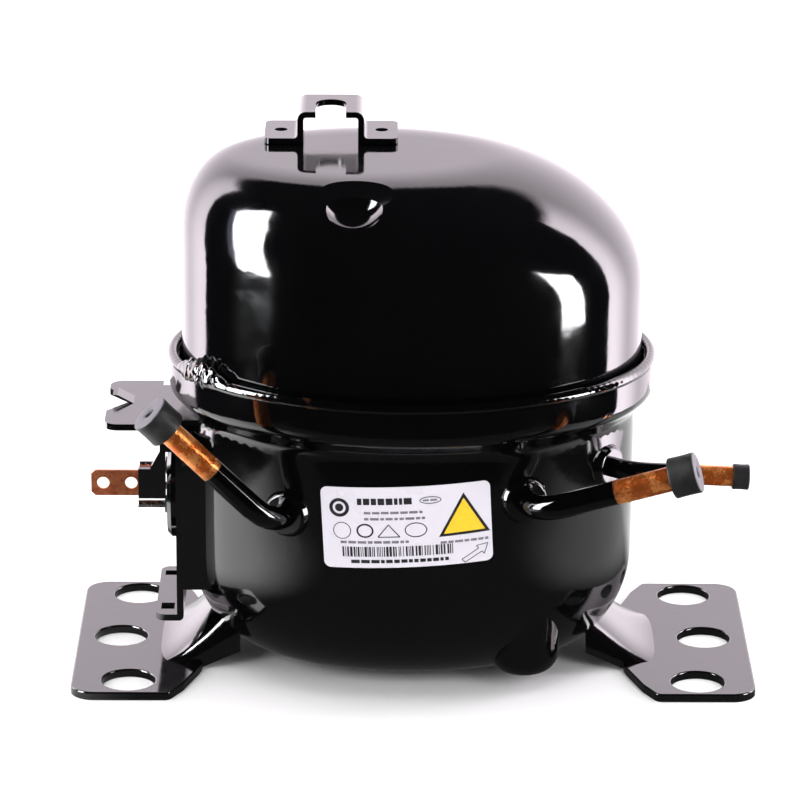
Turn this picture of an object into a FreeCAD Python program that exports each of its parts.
"""Hermetic reciprocating compressor: welded steel shell, feet, stub tubes, terminals, motor and pump.

Frame: +X towards the suction stub, +Y to the back, +Z up. The origin is the centre of the 170 x 70
foot-hole pattern, on the underside of the feet. All sizes are millimetres and degrees.
"""
import FreeCAD, Part
import math
import os
import Sketcher
from FreeCAD import Placement, Rotation, Vector

# ------------------------------------------------------------------------------ driving dimensions
DIMENSIONS = [
    # mounting feet
    ("mount_span", 170, "foot holes, left to right"),
    ("mount_depth", 70, "foot holes, front to back"),
    ("middle_hole_span", 178, "middle foot holes, left to right"),
    ("grommet_hole", 16, "diameter of every foot hole"),
    ("foot_width", 204, "over both feet"),
    ("foot_depth", 90, "one foot, front to back"),
    ("foot_sheet", 2.5, "sheet thickness of a foot"),
    ("foot_corner", 7, "outer corner radius of a foot"),
    ("foot_inner_edge", 72.5, "start of the inner chamfer, from the centre"),
    ("foot_neck_edge", 63.5, "inner edge of the foot at its neck, from the centre"),
    ("foot_neck_depth", 40, "neck, front to back"),
    ("left_neck_start", 79.5, "where the left neck starts to rise, from the centre"),
    ("right_neck_start", 77, "where the right neck starts to rise, from the centre"),
    ("neck_end", 52, "end of the neck inside the shell, from the centre"),
    ("neck_flare", 3, "how much wider the neck is where it starts"),
    ("left_neck_height", 24, "crest of the left neck at its end"),
    ("right_neck_height", 17, "crest of the right neck at its end"),
    ("skirt_rise", 5.5, "how far the neck's sides clear the floor next to the shell"),
    # pressed shell
    ("shell_wall", 3, "sheet thickness of the shell"),
    ("cover_left", -69.4, "left side of the cover"),
    ("cover_right", 67.9, "right side of the cover"),
    ("cover_half_depth", 51.5, "half of the cover, front to back"),
    ("cover_top", 156, "flat top of the cover"),
    ("cover_edge", 87, "lower edge of the cover, inside the rim"),
    ("left_shoulder_run", 15, "left shoulder, along X"),
    ("left_shoulder_drop", 22, "left shoulder, along Z"),
    ("right_shoulder_run", 44, "long right slope, along X"),
    ("right_shoulder_drop", 36, "long right slope, along Z"),
    ("front_shoulder_run", 26, "front and back shoulders, along Y"),
    ("front_shoulder_drop", 25, "front and back shoulders, along Z"),
    ("bowl_half_width", 66.9, "half of the lower shell, left to right"),
    ("bowl_half_depth", 50, "half of the lower shell, front to back"),
    ("bowl_offset", -0.8, "centre of both shells along X"),
    ("bowl_bottom", 2, "lowest point of the lower shell"),
    ("bowl_corner_run", 28, "bottom corner, sideways"),
    ("bowl_corner_rise", 32, "bottom corner, upwards"),
    ("flare_start", 78, "where the lower shell widens into its rim"),
    ("rim_start", 85.5, "lower edge of the straight rim"),
    ("rim_top", 93.5, "upper edge of the rim"),
    ("rim_half_width", 72.6, "half of the rim, left to right"),
    ("rim_half_depth", 55.2, "half of the rim, front to back"),
    ("weld_bead", 2.1, "radius of the weld bead"),
    ("bead_half_width", 71.1, "path of the weld bead, left to right"),
    ("bead_half_depth", 53.6, "path of the weld bead, front to back"),
    ("dimple_x", -18.2, "centre of the ball that presses the cover's dimple"),
    ("dimple_y", -44.6, "centre of that ball"),
    ("dimple_z", 156.7, "centre of that ball"),
    ("dimple_radius", 11, "radius of that ball"),
    ("lead_in_y", -52, "centre of the larger ball that eases the dimple's upper side"),
    ("lead_in_z", 200, "centre of the larger ball"),
    ("lead_in_radius", 50.5, "radius of the larger ball"),
    ("knee_x", 33, "centre of the upright knee in the lower shell's corner"),
    ("knee_y", -30, "centre of the knee"),
    ("knee_radius", 10.5, "knee"),
    ("knee_bottom", 4.5, "lowest point of the knee"),
    ("knee_corner", 6, "corner radius under the knee"),
    # top bracket
    ("bracket_left", -44.8, "left end of the top bracket"),
    ("bracket_right", -5.2, "right end of the top bracket"),
    ("bracket_front", 8.3, "front edge of the top bracket"),
    ("bracket_depth", 19.7, "top bracket, front to back"),
    ("bracket_sheet", 1.8, "sheet thickness of the top bracket"),
    ("bracket_gap", 0.3, "height of the weld projections under the tabs"),
    ("arch_left", -35, "outer face of the arch's left leg"),
    ("arch_right", -15.2, "outer face of the arch's right leg"),
    ("arch_rise", 10.2, "top of the arch over the cover"),
    ("arch_notch", 9, "width of the notch in the arch"),
    # terminal side
    ("terminal_height", 51, "centre of the terminal"),
    ("terminal_radius", 15, "outside of the terminal cup"),
    ("terminal_face", -74, "outer face of the terminal cup"),
    ("pin_radius", 1.15, "terminal pin"),
    ("pin_length", 31, "terminal pin"),
    ("pin_tip", -83, "outer end of the terminal pins"),
    ("bead_radius", 2.7, "glass bead round a pin"),
    ("fence_face", -71, "outer face of the terminal fence"),
    ("fence_sheet", 2, "sheet thickness of the fence"),
    ("fence_width", 40, "fence, front to back"),
    ("fence_bottom", 15.4, "underside of the fence's flange"),
    ("fence_top", 71, "upper edge of the fence"),
    ("fence_flange", 6.4, "how far the fence's flange stands out"),
    ("clip_height", 76, "underside of the clip plate"),
    ("clip_outer", -92, "outer edge of the clip plate"),
    ("clip_inner", -68, "inner edge of the clip plate"),
    ("blade_y", -10, "middle plane of the earth blade"),
    ("blade_sheet", 0.8, "thickness of the earth blade"),
    # stub tubes
    ("suction_od", 7.2, "suction and process tubes, outside"),
    ("suction_id", 6.2, "suction and process tubes, inside"),
    ("discharge_od", 6, "discharge tube, outside"),
    ("discharge_id", 5, "discharge tube, inside"),
    ("tube_root", 5, "how far a tube reaches in behind the wall"),
    ("suction_corner", 11, "from the wall to the suction tube's corner"),
    ("suction_run", 45.6, "from its corner to the suction tube's end"),
    ("suction_bend", 59.9, "angle of the suction tube's bend"),
    ("process_corner", 10, "from the wall to the process tube's corner"),
    ("process_run", 48.4, "from its corner to the process tube's end"),
    ("process_bend", 65.6, "angle of the process tube's bend"),
    ("discharge_corner", 8, "from the wall to the discharge tube's corner"),
    ("discharge_run", 33.5, "from its corner to the discharge tube's end"),
    ("discharge_bend", 38.1, "angle of the discharge tube's bend"),
    ("bend_radius", 13, "centre-line radius of every tube bend"),
    ("plug_od", 12, "suction and process caps"),
    ("plug_length", 8, "suction and process caps"),
    ("plug_grip", 5.6, "how far a cap covers its tube"),
    ("small_plug_od", 7.6, "discharge cap"),
    ("small_plug_length", 5, "discharge cap"),
    ("small_plug_grip", 3.2, "how far the discharge cap covers its tube"),
    # rating label
    ("label_x", -2.2, "centre of the label"),
    ("label_z", 57.2, "centre of the label"),
    ("label_width", 49.5, "label, measured straight across"),
    ("label_height", 25, "label"),
    # motor
    ("shaft_x", -10, "axis of the crankshaft"),
    ("stator_width", 80, "stator stack, left to right"),
    ("stator_depth", 66, "stator stack, front to back"),
    ("stator_corner", 16, "corner radius of the stator stack"),
    ("stack_bottom", 28, "underside of the stator stack"),
    ("stack_height", 36, "stator and rotor stacks"),
    ("stator_bore", 46, "stator bore"),
    ("slot_count", 16, "stator slots"),
    ("slot_width", 4, "stator slot"),
    ("slot_outer", 29.5, "radius to the bottom of a slot"),
    ("rotor_od", 45.2, "rotor"),
    ("bar_count", 14, "rotor bars"),
    ("bar_radius", 1.8, "rotor bar"),
    ("bar_circle", 19, "radius to the rotor bars"),
    ("bolt_x", 28, "stator bolts from the shaft, along X"),
    ("bolt_y", 21.5, "stator bolts from the shaft, along Y"),
    ("bolt_head", 7.4, "stator bolt heads, across flats"),
    # crank mechanism
    ("shaft_radius", 8, "main journal"),
    ("bearing_gap", 0.04, "running clearance, on the radius"),
    ("throw", 9, "crank throw"),
    ("pin_journal", 7, "radius of the crank pin"),
    ("pump_z", 112, "axis of the cylinder"),
    ("bearing_top", 88, "thrust face of the main bearing"),
    ("flange_z", 93, "underside of the crank flange"),
    ("yoke_radius", 10, "inside of the slide tube"),
    ("yoke_wall", 3, "wall of the slide tube"),
    ("yoke_length", 44, "slide tube"),
    ("piston_radius", 12.68, "piston"),
    ("bore_radius", 12.7, "cylinder bore"),
    ("bore_start", 12.5, "open end of the cylinder"),
    ("block_face", 38.5, "valve face of the cylinder"),
    ("piston_rest", 29, "piston crown at mid stroke"),
    ("gasket_sheet", 0.5, "plate gasket"),
    ("plate_sheet", 3, "valve plate"),
    ("head_gasket_sheet", 0.4, "head gasket"),
    ("head_depth", 8, "cylinder head"),
    ("head_width", 38, "cylinder head, valve plate and gaskets"),
    ("head_bolt", 14.5, "head bolts from the cylinder axis, both ways"),
    ("reed_sheet", 0.3, "valve reeds"),
    # suspension
    ("spring_bottom", 13, "lower end of the suspension springs"),
    ("spring_top", 22, "upper end of the suspension springs"),
    ("spring_turns", 4, "turns of one spring"),
    ("spring_radius", 4.6, "mean coil radius"),
    ("spring_wire", 0.7, "radius of the spring wire"),
    ("seat_radius", 5.6, "plastic seats of the springs"),
]

doc = FreeCAD.newDocument("HermeticCompressor")
sheet = doc.addObject("Spreadsheet::Sheet", "Sizes")
for row, (alias, number, meaning) in enumerate(DIMENSIONS, start=1):
    sheet.set(f"A{row}", alias)
    sheet.set(f"B{row}", str(number))
    sheet.setAlias(f"B{row}", alias)
    sheet.set(f"C{row}", meaning)
doc.recompute()


# ------------------------------------------------------------------------ sizes bound to the sheet
class Size:
    """A size as its number and the sheet expression that gives it."""

    def __init__(self, number, text=None):
        self.number = float(number)
        self.text = text or repr(float(number))

    def join(self, other, sign, number):
        return Size(number, f"({self.text} {sign} {as_size(other).text})")

    def __add__(self, other):
        return self.join(other, "+", self.number + as_size(other).number)

    def __sub__(self, other):
        return self.join(other, "-", self.number - as_size(other).number)

    def __mul__(self, other):
        return self.join(other, "*", self.number * as_size(other).number)

    def __truediv__(self, other):
        return self.join(other, "/", self.number / as_size(other).number)

    def __radd__(self, other):
        return as_size(other) + self

    def __rsub__(self, other):
        return as_size(other) - self

    def __rmul__(self, other):
        return as_size(other) * self

    def __neg__(self):
        return as_size(0) - self

    def __float__(self):
        return self.number


def as_size(value):
    """Take a plain number or a Size."""
    return value if isinstance(value, Size) else Size(value)


def dim(alias):
    """A driving dimension of the sheet."""
    return Size(sheet.get(alias), f"Sizes.{alias}")


def bind(thing, prop, value):
    """Drive a property with a Size; a plain number is just set by the same expression."""
    thing.setExpression(prop, as_size(value).text)


def mm(alias):
    """The number of a driving dimension, for shapes made by formula."""
    return float(sheet.get(alias))


# -------------------------------------------------------------------------------- sketch vocabulary
def new_body(name):
    """An empty body whose features follow."""
    body = doc.addObject("PartDesign::Body", name)
    body.Label = name
    return body


def sketch_on(body, plane, offset=0):
    """A sketch on one of the body's own planes: XY, XZ (which faces -Y) or YZ."""
    sketch = body.newObject("Sketcher::SketchObject", f"{body.Name}_{plane.lower()}_sketch")
    origin_plane = [item for item in body.Origin.OriginFeatures if item.Role == f"{plane}_Plane"][0]
    sketch.AttachmentSupport = [(origin_plane, "")]
    sketch.MapMode = "FlatFace"
    bind(sketch, "AttachmentOffset.Base.z", offset)
    return sketch


def limit(sketch, kind, value, *places):
    """Add one dimension to a sketch, driven by the sheet."""
    size = as_size(value)
    index = sketch.addConstraint(Sketcher.Constraint(kind, *places, size.number))
    if "Sizes." in size.text:
        sketch.setExpression(f"Constraints[{index}]", size.text)


def hold(sketch, geometry, point, kind, value):
    """Hold a point of the sketch along X or Y, by kind DistanceX or DistanceY."""
    if float(value) == 0:
        axis = -2 if kind == "DistanceX" else -1
        sketch.addConstraint(Sketcher.Constraint("PointOnObject", geometry, point, axis))
    else:
        limit(sketch, kind, value, -1, 1, geometry, point)


def fix_point(sketch, geometry, point, x, y):
    """Hold a point of the sketch at (x, y)."""
    hold(sketch, geometry, point, "DistanceX", x)
    hold(sketch, geometry, point, "DistanceY", y)


def flat(x, y):
    """A point of a sketch."""
    return Vector(float(x), float(y), 0)


def circle(sketch, radius, x=0, y=0):
    """A circle at (x, y)."""
    ring = sketch.addGeometry(Part.Circle(flat(x, y), Vector(0, 0, 1), float(radius)))
    limit(sketch, "Radius", radius, ring)
    fix_point(sketch, ring, 3, x, y)


def outline(sketch, points):
    """A closed outline of straight lines through the points."""
    first = None
    for start, end in zip(points, points[1:] + points[:1]):
        line = sketch.addGeometry(Part.LineSegment(flat(*start), flat(*end)))
        first = line if first is None else first
    for step, point in enumerate(points):
        line = first + step
        following = first + (step + 1) % len(points)
        sketch.addConstraint(Sketcher.Constraint("Coincident", line, 2, following, 1))
        fix_point(sketch, line, 1, *point)


def rectangle(sketch, left, right, low, high):
    """An upright rectangle."""
    outline(sketch, [(left, low), (right, low), (right, high), (left, high)])


def rounded_outline(sketch, left, right, low, high, corner):
    """An upright rectangle with round corners: four lines, each followed by its corner arc."""
    radius = float(corner)
    corners = [(float(right) - radius, float(low) + radius), (float(right) - radius, float(high) - radius),
               (float(left) + radius, float(high) - radius), (float(left) + radius, float(low) + radius)]
    lines, arcs = [], []
    for step, centre in enumerate(corners):
        turn = math.pi / 2 * (step - 1)
        before = corners[step - 1]
        out = flat(radius * math.cos(turn), radius * math.sin(turn))
        lines.append(sketch.addGeometry(Part.LineSegment(flat(*before) + out, flat(*centre) + out)))
        round_part = Part.Circle(flat(*centre), Vector(0, 0, 1), radius)
        arcs.append(sketch.addGeometry(Part.ArcOfCircle(round_part, turn, turn + math.pi / 2)))
    for step in range(4):
        sketch.addConstraint(Sketcher.Constraint("Tangent", lines[step], 2, arcs[step], 1))
        sketch.addConstraint(Sketcher.Constraint("Tangent", arcs[step], 2, lines[(step + 1) % 4], 1))
        level = "Vertical" if step % 2 else "Horizontal"
        sketch.addConstraint(Sketcher.Constraint(level, lines[step]))
        if step:
            sketch.addConstraint(Sketcher.Constraint("Equal", arcs[0], arcs[step]))
    limit(sketch, "Radius", corner, arcs[0])
    hold(sketch, lines[0], 1, "DistanceY", low)
    hold(sketch, lines[1], 1, "DistanceX", right)
    hold(sketch, lines[2], 1, "DistanceY", high)
    hold(sketch, lines[3], 1, "DistanceX", left)


def hexagon(sketch, across_flats, x, y):
    """A hexagon for a bolt head, with two flats level."""
    radius = as_size(across_flats) / math.sqrt(3)
    corners = [(radius * math.cos(math.radians(60 * k)), radius * math.sin(math.radians(60 * k)))
               for k in range(6)]
    outline(sketch, [(x + dx, y + dy) for dx, dy in corners])


# ------------------------------------------------------------------------------- feature vocabulary
def feature_on(body, kind, sketch, length=None, backwards=False, centred=False, through=False):
    """A feature made from a sketch of the body."""
    feature = body.newObject(f"PartDesign::{kind}", f"{body.Name}_{kind.lower()}")
    feature.Profile = sketch
    if length is not None:
        bind(feature, "Length", length)
    if centred:
        feature.SideType = "Symmetric"
    if through:
        feature.Type = "ThroughAll"
    feature.Reversed = backwards
    return feature


def pad(body, sketch, length, **how):
    """Extrude a sketch."""
    return feature_on(body, "Pad", sketch, length, **how)


def pocket(body, sketch, length, **how):
    """Cut a sketch away, and make sure that it takes something away."""
    doc.recompute()
    before = body.Shape.Volume
    feature = feature_on(body, "Pocket", sketch, length, **how)
    doc.recompute()
    if body.Shape.Volume > before - 1e-6:
        raise RuntimeError(f"{feature.Name} cuts nothing")
    return feature


def turned(body, sketch, kind="Revolution"):
    """Turn a sketch about its own vertical axis."""
    feature = feature_on(body, kind, sketch)
    feature.ReferenceAxis = (sketch, ["V_Axis"])
    feature.Angle = 360
    return feature


def turned_body(name, profile, plane="XZ"):
    """A body turned about Z from a half profile of (radius, height) points."""
    body = new_body(name)
    sketch = sketch_on(body, plane)
    outline(sketch, profile)
    turned(body, sketch)
    return body


def polar(body, feature, count):
    """Repeat a feature round Z."""
    pattern = body.newObject("PartDesign::PolarPattern", f"{body.Name}_polar")
    axis = [item for item in body.Origin.OriginFeatures if item.Role == "Z_Axis"][0]
    pattern.Originals = [feature]
    pattern.Axis = (axis, [""])
    pattern.Angle = 360
    bind(pattern, "Occurrences", count)
    body.Tip = pattern
    doc.recompute()
    return pattern


def round_edges(body, radius, wanted):
    """Fillet the edges of the body's last feature for which wanted(edge box) is true."""
    doc.recompute()
    base = body.Tip
    names = [f"Edge{number}" for number, edge in enumerate(base.Shape.Edges, start=1)
             if wanted(edge.BoundBox)]
    if not names:
        raise RuntimeError(f"{body.Name} has no such edges")
    fillet = body.newObject("PartDesign::Fillet", f"{body.Name}_fillet")
    fillet.Base = (base, names)
    bind(fillet, "Radius", radius)
    doc.recompute()
    return fillet


def upright(box):
    """True for an edge that runs along Z."""
    return box.XLength < 1e-4 and box.YLength < 1e-4


def along_y(box):
    """True for an edge that runs along Y."""
    return box.XLength < 1e-4 and box.ZLength < 1e-4


def along_x(box):
    """True for an edge that runs along X."""
    return box.YLength < 1e-4 and box.ZLength < 1e-4


def place(thing, x, y, z, turn=None):
    """Put a piece at (x, y, z), turned first."""
    thing.Placement = Placement(Vector(float(x), float(y), float(z)), turn or Rotation())
    for axis, value in zip("xyz", (x, y, z)):
        bind(thing, f"Placement.Base.{axis}", value)
    return thing


def combined(kind, name, base, tool):
    """A boolean of two objects of the document."""
    result = doc.addObject(f"Part::{kind}", name)
    result.Base = base
    result.Tool = tool
    result.Label = name
    return result


def cylinder(name, radius, height, x, y, z, turn=None):
    """A plain cylinder, used for holes and pins."""
    rod = doc.addObject("Part::Cylinder", name)
    bind(rod, "Radius", radius)
    bind(rod, "Height", height)
    return place(rod, x, y, z, turn)


def shaped(name, shape):
    """A piece whose shape comes from a formula."""
    feature = doc.addObject("Part::Feature", name)
    feature.Shape = shape
    feature.Label = name
    feature.Placement = Placement()
    return feature


PIECES = {}


def piece(name, thing):
    """Name a finished sub-part."""
    thing.Label = name
    PIECES[name] = thing
    return thing


TO_PLUS_X = Rotation(Vector(0, 1, 0), 90)


# -------------------------------------------------------------------------------------- the shells
def ellipse(centre_x, half_x, half_y, z):
    """A level elliptical wire."""
    curve = Part.Ellipse(Vector(centre_x, 0, z), half_x, half_y)
    return Part.Wire([curve.toShape()])


AROUND = 24          # control points round a shell
CUBIC_SPREAD = 3 / (2 + math.cos(2 * math.pi / AROUND))     # makes the curve pass the true ellipse


def skinned(sections):
    """A smooth solid whose control rows are level ellipses, closed by flat ends."""
    rows = []
    for centre_x, half_x, half_y, z in sections:
        turns = [2 * math.pi * k / AROUND for k in range(AROUND)]
        rows.append([Vector(centre_x + CUBIC_SPREAD * half_x * math.cos(turn),
                            CUBIC_SPREAD * half_y * math.sin(turn), z) for turn in turns])
    columns = [list(column) for column in zip(*rows)]
    spans = len(rows) - 3
    surface = Part.BSplineSurface()
    surface.buildFromPolesMultsKnots(
        columns, [1] * (AROUND + 1), [4] + [1] * (spans - 1) + [4],
        list(range(AROUND + 1)), list(range(spans + 1)), True, False, 3, 3)
    side = surface.toShape()
    rings = [edge for edge in side.Edges if edge.BoundBox.ZLength < 1e-6]
    ends = [Part.Face(Part.Wire([ring])) for ring in rings]
    closed = Part.makeShell([side] + ends)
    closed.sewShape()
    return Part.makeSolid(closed)


def shoulder(z, top, run, drop, fullness=2.0):
    """How far a shoulder has turned in at height z, below a flat top."""
    rise = min(max((z - (top - drop)) / drop, 0), 1)
    return run * (1 - (1 - rise ** fullness) ** (1 / fullness))


def cover_section(z, inset):
    """Section of the cover at height z, shrunk by the inset."""
    top = mm("cover_top") - inset
    left = mm("cover_left") + inset
    left += shoulder(z, top, mm("left_shoulder_run"), mm("left_shoulder_drop") - inset)
    right = mm("cover_right") - inset
    right -= shoulder(z, top, mm("right_shoulder_run"), mm("right_shoulder_drop") - inset, 1.75)
    half_y = mm("cover_half_depth") - inset
    half_y -= shoulder(z, top, mm("front_shoulder_run"), mm("front_shoulder_drop") - inset)
    return (left + right) / 2, (right - left) / 2, half_y, z


def cover_solid(inset, low):
    """The cover's outer solid, or with an inset the hollow inside it."""
    top = mm("cover_top") - inset
    drop = mm("right_shoulder_drop")
    levels = [low, low + 8, top - drop - 8]
    levels += [top - drop * (1 - math.sin(math.radians(turn))) for turn in range(0, 91, 10)]
    sections = [cover_section(z, inset) for z in levels]
    centre_x, half_x, half_y, z = sections[-1]
    sections.append((centre_x, half_x - 5, half_y - 5, z))
    return skinned(sections)


def bowl_section(z, inset):
    """Section of the lower shell at height z, shrunk by the inset."""
    bottom = mm("bowl_bottom") + inset
    rise = min(max((z - bottom) / (mm("bowl_corner_rise") - inset), 0), 1)
    turned_in = 1 - math.sqrt(1 - (1 - rise) ** 2)
    flare = min(max((z - mm("flare_start")) / (mm("rim_start") - mm("flare_start")), 0), 1)
    flare = flare * flare * (3 - 2 * flare)
    run = mm("bowl_corner_run")
    half_x = mm("bowl_half_width") - inset - run * turned_in
    half_y = mm("bowl_half_depth") - inset - run * turned_in
    half_x += flare * (mm("rim_half_width") - mm("bowl_half_width"))
    half_y += flare * (mm("rim_half_depth") - mm("bowl_half_depth"))
    return mm("bowl_offset"), half_x, half_y, z


def bowl_solid(inset, high):
    """The lower shell's outer solid, or with an inset the hollow inside it."""
    bottom = mm("bowl_bottom") + inset
    rise = mm("bowl_corner_rise") - inset
    levels = [bottom + rise * (1 - math.cos(math.radians(turn))) for turn in range(0, 91, 10)]
    levels += [50, 64, mm("flare_start") - 3, mm("flare_start")]
    levels += [mm("flare_start") + 1.5 * step for step in (1, 2, 3, 4)]
    levels += [mm("rim_start"), mm("rim_start") + 3, high]
    sections = [bowl_section(z, inset) for z in levels]
    centre_x, half_x, half_y, z = sections[0]
    return skinned([(centre_x, half_x - 5, half_y - 5, z)] + sections)


def dimple_solid(margin):
    """What the press takes out of the cover: a deep ball, eased above by a much larger one."""
    deep = Part.makeSphere(mm("dimple_radius") + margin,
                           Vector(mm("dimple_x"), mm("dimple_y"), mm("dimple_z")))
    wide = Part.makeSphere(mm("lead_in_radius") + margin,
                           Vector(mm("dimple_x"), mm("lead_in_y"), mm("lead_in_z")))
    return deep.fuse(wide)


def knee_solid():
    """Upright knee that fills the front right corner down to a tight round."""
    top = mm("bowl_corner_rise") + 6
    knee = Part.makeCylinder(mm("knee_radius"), top - mm("knee_bottom"),
                             Vector(mm("knee_x"), mm("knee_y"), mm("knee_bottom")))
    low_ring = [edge for edge in knee.Edges if edge.BoundBox.ZMax < mm("knee_bottom") + 0.01]
    return knee.makeFillet(mm("knee_corner"), low_ring)


def wall_point(x, inset=0):
    """The lower shell's front wall at x, and the outward normal there."""
    half_x = mm("bowl_half_width") - inset
    half_y = mm("bowl_half_depth") - inset
    across = (x - mm("bowl_offset")) / half_x
    y = -half_y * math.sqrt(1 - across ** 2)
    normal = Vector((x - mm("bowl_offset")) / half_x ** 2, y / half_y ** 2, 0)
    return y, normal.normalize()


WALL = mm("shell_wall")
cover_outer = cover_solid(0, mm("cover_edge"))
cover_inner = cover_solid(WALL, mm("cover_edge") - 1)
cover_outer = cover_outer.cut(dimple_solid(0))
cover_inner = cover_inner.cut(dimple_solid(WALL))
piece("upper_shell", shaped("upper_shell", cover_outer.cut(cover_inner)))

bowl_outer = bowl_solid(0, mm("rim_top"))
bowl_inner = bowl_solid(WALL, mm("rim_top") + 1)
whole_bowl = bowl_outer.fuse(knee_solid())
shell_space = shaped("shell_space", whole_bowl)
hollow_space = shaped("hollow_space", bowl_inner)
bowl = whole_bowl.cut(bowl_inner)


# ---------------------------------------------------------------------------------- the stub tubes
def bent_tube(name, outside, inside, root, corner, run, bend):
    """A tube along local +X, then turned by the bend towards local +Y."""
    body = new_body(name)
    radius = dim("bend_radius")
    setback = float(radius) * math.tan(math.radians(float(bend)) / 2)
    angle = math.radians(float(bend))
    start = flat(-root, 0)
    bend_start = flat(float(corner) - setback, 0)
    bend_end = flat(float(corner) + setback * math.cos(angle), setback * math.sin(angle))
    finish = flat(float(corner) + float(run) * math.cos(angle), float(run) * math.sin(angle))
    route = sketch_on(body, "XY")
    route.addGeometry(Part.LineSegment(start, bend_start))
    arc = Part.Circle(flat(float(corner) - setback, radius), Vector(0, 0, 1), float(radius))
    route.addGeometry(Part.ArcOfCircle(arc, -math.pi / 2, angle - math.pi / 2))
    route.addGeometry(Part.LineSegment(bend_end, finish))
    route.addConstraint(Sketcher.Constraint("Tangent", 0, 2, 1, 1))
    route.addConstraint(Sketcher.Constraint("Tangent", 1, 2, 2, 1))
    route.addConstraint(Sketcher.Constraint("Horizontal", 0))
    fix_point(route, 0, 1, -root, 0)
    limit(route, "Radius", radius, 1)
    limit(route, "DistanceX", corner + run * math.cos(angle), -1, 1, 2, 2)
    limit(route, "DistanceY", run * math.sin(angle), -1, 1, 2, 2)
    ring = sketch_on(body, "YZ", -root)
    circle(ring, outside / 2)
    circle(ring, inside / 2)
    pipe = body.newObject("PartDesign::AdditivePipe", f"{name}_pipe")
    pipe.Profile = ring
    pipe.Spine = (route, ["Edge1", "Edge2", "Edge3"])
    return body


def tube_frame(normal, direction):
    """Rotation that takes local +X to the normal and leans local +Y towards the direction."""
    side = direction - normal * direction.dot(normal)
    return Rotation(normal, side.normalize(), normal.cross(side), "XYZ")


def wall_hole(outside, point, normal):
    """A hole through the wall for a tube, with a hair of room for the braze."""
    radius = float(outside) / 2 + 0.05
    return Part.makeCylinder(radius, 26, point - normal * 14, normal)


def collar_ring(outside, point, normal):
    """A raised collar pressed out of the wall round a tube."""
    inner = float(outside) / 2 + 0.05
    boss = Part.makeCone(inner + 4.6, inner + 2.6, 4.2, point - normal * 2.4, normal)
    boss = boss.makeFillet(1.0, [edge for edge in boss.Edges if edge.Length > 1
                                 and (edge.CenterOfMass - point).dot(normal) > 1])
    return boss


# name: outside and inside diameters, wall x, height and which way the tube leans after its bend
TUBES = {
    "suction": ("suction_od", "suction_id", 32.2, 63.5, Vector(0.937, -0.156, 0.311)),
    "process": ("suction_od", "suction_id", -37.5, 58.1, Vector(-0.679, -0.109, 0.725)),
    "discharge": ("discharge_od", "discharge_id", 57.3, 67.3, Vector(0.998, -0.018, -0.05)),
}
collars = []
tube_ends = {}
for kind, (od_name, id_name, wall_x, wall_z, lean) in TUBES.items():
    wall_y, normal = wall_point(wall_x)
    root_point = Vector(wall_x, wall_y, wall_z)
    frame = tube_frame(normal, lean)
    bend = math.radians(mm(f"{kind}_bend"))
    direction = frame.multVec(Vector(math.cos(bend), math.sin(bend), 0))
    outside = dim(od_name)
    bowl = bowl.cut(wall_hole(outside, root_point, normal))
    collars.append(collar_ring(outside, root_point, normal).cut(shell_space.Shape)
                   .cut(wall_hole(outside, root_point, normal)))
    tube = bent_tube(f"{kind}_tube", outside, dim(id_name), dim("tube_root"),
                     dim(f"{kind}_corner"), dim(f"{kind}_run"), dim(f"{kind}_bend"))
    place(tube, *root_point, frame)
    piece(f"{kind}_tube", tube)
    corner_point = root_point + normal * mm(f"{kind}_corner")
    tube_ends[kind] = (corner_point + direction * mm(f"{kind}_run"), direction)
piece("tube_collars", shaped("tube_collars", Part.makeCompound(collars)))


def plug_profile(tube_radius, radius, length, grip, slot_radius, lip):
    """Half profile of a rubber cap: an annular socket, an end disc and a shallow centre hole."""
    return [(tube_radius, -grip), (radius - lip, -grip), (radius, -grip + lip),
            (radius, length - grip - lip), (radius - lip, length - grip),
            (slot_radius, length - grip), (slot_radius, length - grip - 1.0), (0, length - grip - 1.0),
            (0, 0.1), (tube_radius, 0.1)]


PLUGS = {"suction": ("suction_od", "plug"), "process": ("suction_od", "plug"),
         "discharge": ("discharge_od", "small_plug")}
for kind, (od_name, prefix) in PLUGS.items():
    radius = dim(f"{prefix}_od") / 2
    centre_hole = 1.6 if prefix == "plug" else 1.0
    plug = turned_body(f"{kind}_plug", plug_profile(
        dim(od_name) / 2 + 0.03, radius, dim(f"{prefix}_length"), dim(f"{prefix}_grip"),
        as_size(centre_hole), as_size(0.5)))
    end_point, direction = tube_ends[kind]
    place(plug, *end_point, Rotation(Vector(0, 0, 1), direction))
    piece(f"{kind}_plug", plug)

# ------------------------------------------------------------------------------ weld and top bracket
BEAD_Z = mm("rim_top") + 0.9
bead_path = ellipse(mm("bowl_offset"), mm("bead_half_width"), mm("bead_half_depth"), BEAD_Z)
bead_start = Vector(mm("bead_half_width") + mm("bowl_offset"), 0, BEAD_Z)
bead_ring = Part.Wire([Part.Circle(bead_start, Vector(0, 1, 0), mm("weld_bead")).toShape()])
bead = bead_path.makePipeShell([bead_ring], True, True)


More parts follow.
